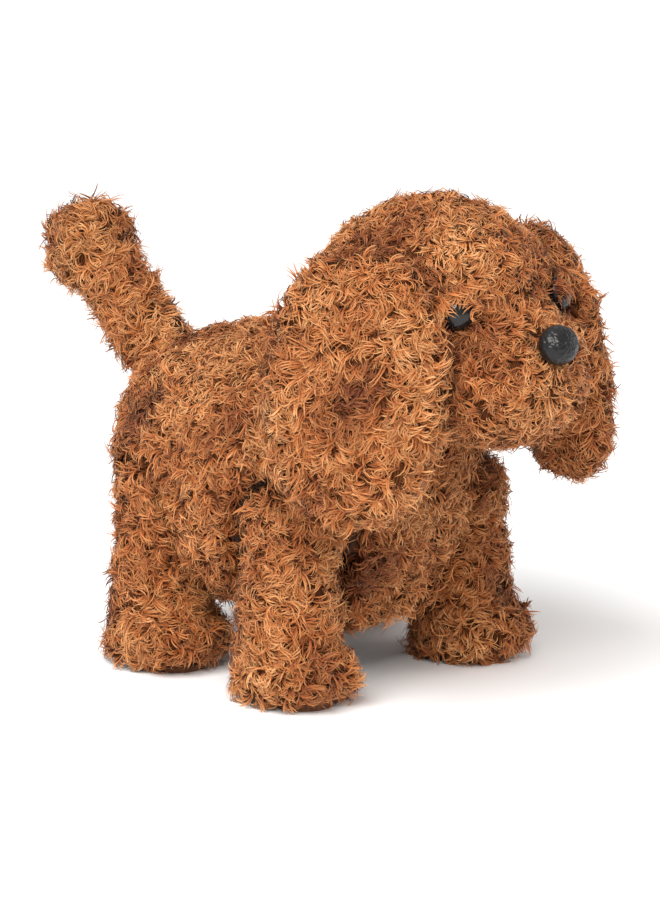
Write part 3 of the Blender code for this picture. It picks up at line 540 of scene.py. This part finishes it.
def grow(name, spots, facing, seed, length=8.0, hang=0.25, rise=1.15, width=0.44,
         toward=None, near=(), shade_reach=5.0):
    """Curly locks on the given spots: thin ribbons that share a lock's curl and colour, with painted shade
    in the creases beside the parts in near.
    """
    rng = np.random.default_rng(seed)
    count = len(spots)
    offset, lie, tuft_tone = nearest_tufts(spots, rng)
    flat = offset / (4 * MM) * 0.9 + lie * 0.5 + rng.normal(size=(count, 3)) * 0.45
    flat[:, 2] -= hang
    if toward is not None:
        flat = flat * 0.35 + toward
    flat -= facing * (flat * facing).sum(1)[:, None]
    flat = unit(flat)
    over = np.cross(facing, flat)
    swirl = rng.choice([-1.0, 1.0], count) * rng.uniform(0.2, 1.3, count)
    curl_axis = unit(over + facing * swirl[:, None])
    curl = rng.uniform(1.4, 4.2, count)
    lock_length = length * MM * rng.uniform(0.65, 1.25, count)
    lift = rise * rng.uniform(0.55, 1.25, count)
    tone = np.clip(0.5 + 0.22 * rng.normal(size=count) + 0.35 * (tuft_tone - 0.5), 0, 1)
    # Random broad patches of tone, times painted shade in the creases next to the parts in near.
    patch_tone_and_shade = np.clip(0.66 + 0.3 * lumps(spots, 32 * MM, 5), 0, 1) * (1 - 0.95 * crease_shade(spots, near, shade_reach))

    def lines_from(root, facing, flat, axis, curl, length, lift):
        heading = unit(facing * lift[:, None] + flat)
        lines, sides = [root], []
        point = root
        for _ in range(STEPS):
            sides.append(heading)
            point = point + heading * (length / STEPS)[:, None]
            point[:, 2] = np.maximum(point[:, 2], FLOOR_CLEARANCE)
            lines.append(point)
            heading = turned(heading, axis, curl / STEPS)
        return np.stack(lines, axis=1), np.stack(sides, axis=1)

    every = np.repeat(np.arange(count), STRANDS_PER_LOCK)
    total = len(every)
    scatter_by = rng.normal(size=(total, 3)) * 0.55 * MM
    scatter_by -= facing[every] * (scatter_by * facing[every]).sum(1)[:, None]
    jitter = rng.normal(size=(total, 3)) * 0.16
    strand_flat = unit(flat[every] + jitter)
    strand_axis = unit(curl_axis[every] + rng.normal(size=(total, 3)) * 0.16)
    lines, headings = lines_from(
        spots[every] + scatter_by, facing[every], strand_flat, strand_axis,
        curl[every] * rng.uniform(0.8, 1.25, total), lock_length[every] * rng.uniform(0.75, 1.1, total),
        lift[every] * rng.uniform(0.85, 1.15, total))
    twist = rng.uniform(-0.7, 0.7, total)
    sides = np.zeros_like(headings)
    for step in range(STEPS):
        ahead = headings[:, step]
        sideways = unit(np.cross(ahead, facing[every]))
        sides[:, step] = turned(sideways, ahead, twist)
    half_width = width / 2 * MM * rng.uniform(0.7, 1.3, total)
    colours = np.stack([np.clip(tone[every] + rng.normal(size=total) * 0.08, 0, 1), patch_tone_and_shade[every]], axis=1)
    mesh = ribbon_mesh(name, lines, sides, half_width, colours)
    return link_mesh(name, mesh, FUR)


# ---------------------------------------------------------------------------------------------
# The puppy

LEFT_EYE_AT = (25.5, -105.7, 148.0)
LEFT_EYE_FACING = (0.52, -0.82, 0.22)
NOSE_AT = (0, -130.2, 136.5)
NOSE_FACING = (0, -0.96, 0.28)
TAIL_LINE = ((0, 56, 83), (0, 118.7, 140))  # from the tail's pivot to the middle of its ball
LEG_COVERS = tuple(f"leg_cover_{end}_{side}" for end, _ in ENDS for side, _ in SIDES)


def fur_on(skin, seed, keep, **settings):
    """Spots for fur on a skin, after dropping those that keep() turns away."""
    rng = np.random.default_rng(seed)
    spots, facing = scatter(skin.data, LOCKS_PER_MM2, rng)
    kept = keep(spots, facing)
    return spots[kept], facing[kept]


def make_body():
    skin = padded_skin("body_skin", "body_cover", "root", 2.0 * MM, ROOT_DEPTH, 0.7 * MM)
    low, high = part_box("body_cover")
    middle = (low + high) / 2 / MM
    core = ((middle.x, middle.y - 12, middle.z), (middle.x, middle.y + 12, middle.z))
    outer, wall = outward_of(core, 0.45), outward_of(core, -0.3)

    def keep(points, normals):
        beside_leg = (np.abs(points[:, 0]) > 26 * MM) & (points[:, 2] < 88 * MM)
        return outer(points, normals) | (wall(points, normals) & beside_leg)

    spots, facing = fur_on(skin, 101, keep)
    thirds = np.quantile(spots[:, 1], (1 / 3, 2 / 3))
    parts = np.searchsorted(thirds, spots[:, 1])
    for part, label in enumerate(("front", "middle", "rear")):
        here = parts == part
        fur = grow(f"fur_body_{label}", spots[here], facing[here], 110 + part,
                   near=(*LEG_COVERS, "head_cover", "tail_cover", "ear_right", "ear_left"))
        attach(fur, "root")


def eye_tufts(name, eye, outward, seed):
    """Locks rooted round an eye that fall across it, mostly from above."""
    rng = np.random.default_rng(seed)
    count = 64
    across = unit(np.cross((0, 0, 1), outward)[None])[0]
    up = np.cross(outward, across)
    angle = np.concatenate([rng.uniform(0.1, math.pi - 0.1, count * 3 // 4),
                            rng.uniform(math.pi, 2 * math.pi, count // 4)])
    radius = rng.uniform(6.6, 9.5, count) * MM
    spots = eye + (across * np.cos(angle)[:, None] + up * np.sin(angle)[:, None]) * radius[:, None]
    spots = spots + outward * rng.uniform(0.5, 2.5, count)[:, None] * MM
    facing = unit(outward + 0.5 * (spots - eye) / radius[:, None])
    inward = unit(eye - spots) * np.where(angle < math.pi, 1.0, -0.6)[:, None] - np.array((0, 0, 0.4))
    return grow(name, spots, facing, seed, length=8.0, hang=0.0, rise=1.1, toward=inward)


def make_head():
    skin = padded_skin("head_skin", "head_cover", "head", 1.8 * MM, ROOT_DEPTH, 0.6 * MM)
    keep_ball = outward_of(((0, -100, 125), (0, -70, 136)), 0.3)
    spots, facing = fur_on(skin, 201, keep_ball)
    thirds = np.quantile(spots[:, 1], (1 / 3, 2 / 3))
    parts = np.searchsorted(thirds, spots[:, 1])
    for part, label in enumerate(("face", "crown", "nape")):
        here = parts == part
        fur = grow(f"fur_head_{label}", spots[here], facing[here], 210 + part, length=7.2,
                   near=("ear_right", "ear_left", "body_cover"), shade_reach=10.0)
        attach(fur, "head")
    for name, side in SIDES:
        mirror = np.array((side, 1, 1))
        eye, outward = np.array(LEFT_EYE_AT) * mirror, np.array(LEFT_EYE_FACING) * mirror
        make_button(f"eye_{name}_button", "head", 6.5, 5.1, eye, outward, EYE_GLOSS)
        fur = eye_tufts(f"fur_brow_{name}", eye * MM, unit(outward[None])[0], 230 + side)
        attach(fur, "head")
    make_button("nose_button", "head", 8.0, 6.1, NOSE_AT, NOSE_FACING, NOSE_GLOSS, (1.0, 0.88), 0.5)


def make_ears():
    for index, (name, _) in enumerate(SIDES):
        ear = f"ear_{name}"
        skin = padded_skin(f"{ear}_skin", ear, ear, 1.4 * MM, 0.8 * MM, 0.5 * MM)
        spots, facing = fur_on(skin, 301 + index, lambda p, n: n[:, 0] < 9)
        fur = grow(f"fur_{ear}", spots, facing, 310 + index, length=8.6, hang=0.5,
                   near=("head_cover",), shade_reach=4.5)
        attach(fur, ear)


def make_legs():
    for index, (end_name, _) in enumerate(ENDS):
        for name, side in SIDES:
            label = f"{end_name}_{name}"
            skin = padded_skin(f"leg_{label}_skin", f"leg_cover_{label}", f"leg_{label}", 1.6 * MM,
                               1.6 * MM, 0.5 * MM)
            hip = next(j for j in frame["joints"] if j["name"] == f"leg_{label}_swing")["pos_m"]
            y = hip[1] / MM
            axis = ((42 * side, y, 62), (45 * side, y - 3, 9))
            outward = outward_of(axis, 0.3)

            def keep(points, normals, outward=outward):
                under = (points[:, 2] < 5 * MM) & (normals[:, 2] < -0.8)
                return outward(points, normals) & ~under

            spots, facing = fur_on(skin, 401 + 2 * index + (side > 0), keep)
            fur = grow(f"fur_leg_{label}", spots, facing, 410 + 2 * index + (side > 0),
                       length=8.0, hang=0.3, near=("body_cover",))
            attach(fur, f"leg_{label}")


def make_tail():
    skin = padded_skin("tail_skin", "tail_cover", "tail", 1.6 * MM, 1.6 * MM, 0.5 * MM)
    keep = outward_of(TAIL_LINE, 0.3)
    spots, facing = fur_on(skin, 501, keep)
    fur = grow("fur_tail", spots, facing, 510, length=9.5, hang=0.2, near=("body_cover",))
    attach(fur, "tail")
    make_tail_cuff()


def make_tail_cuff():
    """A short fur cuff that closes the gap between body and tail."""
    root, ball = (Vector(end) for end in TAIL_LINE)
    middle = root + (ball - root).normalized() * 15
    facing_out = Vector((0, 0.9, 0.43)).normalized()
    matrix = placed(middle * MM, facing_out)
    profile = [(0, -4), (18.6, -4), (18.2, 1), (16.4, 5), (14, 8), (0, 8)]
    cuff = lathe("tail_cuff", profile, matrix, SHADED_BACKING, (1.0, 0.86), 40)
    rng = np.random.default_rng(520)
    spots, facing = scatter(cuff.data, LOCKS_PER_MM2, rng)
    axis = np.array(facing_out)
    from_axis = spots - np.array(middle) * MM
    from_axis -= np.outer(from_axis @ axis, axis)
    kept = (facing * unit(from_axis)).sum(1) > 0.3
    fur = grow("fur_tail_cuff", spots[kept], facing[kept], 521, length=7.0, hang=0.0, toward=axis * 0.8)
    for piece in (cuff, fur):
        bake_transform(piece)


# ---------------------------------------------------------------------------------------------
# Stage


def make_floor():
    size = 6.0
    mesh = bpy.data.meshes.new("floor")
    mesh.from_pydata([(-size, -size, 0), (size, -size, 0), (size, size, 0), (-size, size, 0)], [],
                     [(0, 1, 2, 3)])
    made = Nodes("pale_floor")
    made.colour(made.ramp(made.noise(3.0), ((0.0, (0.93, 0.93, 0.93)), (1.0, (0.95, 0.95, 0.95)))))
    made.set(Roughness=0.8)
    link_mesh("floor", mesh, made.material, smooth=False)


def area_light(name, at, aim, size, power, colour):
    light = bpy.data.lights.new(name, "AREA")
    light.shape, light.size, light.energy, light.color = "DISK", size, power, colour
    thing = bpy.data.objects.new(name, light)
    bpy.context.scene.collection.objects.link(thing)
    thing.location = at
    thing.rotation_euler = (Vector(at) - Vector(aim)).to_track_quat("Z", "Y").to_euler()


def make_lights():
    middle = (0, 0, 0.09)
    area_light("key", (-0.75, -0.85, 1.05), middle, 0.5, 9.0, (1.0, 0.98, 0.95))
    area_light("fill", (1.1, -0.9, 0.55), middle, 0.9, 4.0, (1.0, 0.98, 0.96))
    sun = bpy.data.lights.new("sky", "SUN")
    sun.energy, sun.angle = 2.6, math.radians(40)
    daylight = bpy.data.objects.new("sky", sun)
    bpy.context.scene.collection.objects.link(daylight)
    daylight.rotation_euler = Vector((-0.85, -0.10, 1.0)).to_track_quat("Z", "Y").to_euler()
    world = bpy.data.worlds.new("studio")
    bpy.context.scene.world = world
    world.use_nodes = True
    background = world.node_tree.nodes["Background"]
    background.inputs["Color"].default_value = (1.0, 0.99, 0.98, 1.0)
    background.inputs["Strength"].default_value = 0.62
    bpy.context.scene.view_settings.view_transform = "Standard"


def make_camera():
    azimuth, elevation = math.radians(-43.5), math.radians(12.8)
    distance, view_height = 1.5, 0.3375
    right = Vector((math.cos(azimuth), math.sin(azimuth), 0))
    back = Vector((math.sin(azimuth) * math.cos(elevation), -math.cos(azimuth) * math.cos(elevation),
                   math.sin(elevation)))
    up = back.cross(right)
    lens = bpy.data.cameras.new("camera")
    lens.sensor_width = 36.0
    lens.lens = lens.sensor_width * distance / view_height
    camera = bpy.data.objects.new("camera", lens)
    bpy.context.scene.collection.objects.link(camera)
    aim_right, aim_up = 10.9 * MM, 76.0 * MM
    aim = right * aim_right + up * aim_up
    camera.location = aim + back * distance
    camera.rotation_euler = back.to_track_quat("Z", "Y").to_euler()
    bpy.context.scene.camera = camera


make_camera()
dress_nodes()
make_body()
make_head()
make_ears()
make_legs()
make_tail()
make_floor()
make_lights()
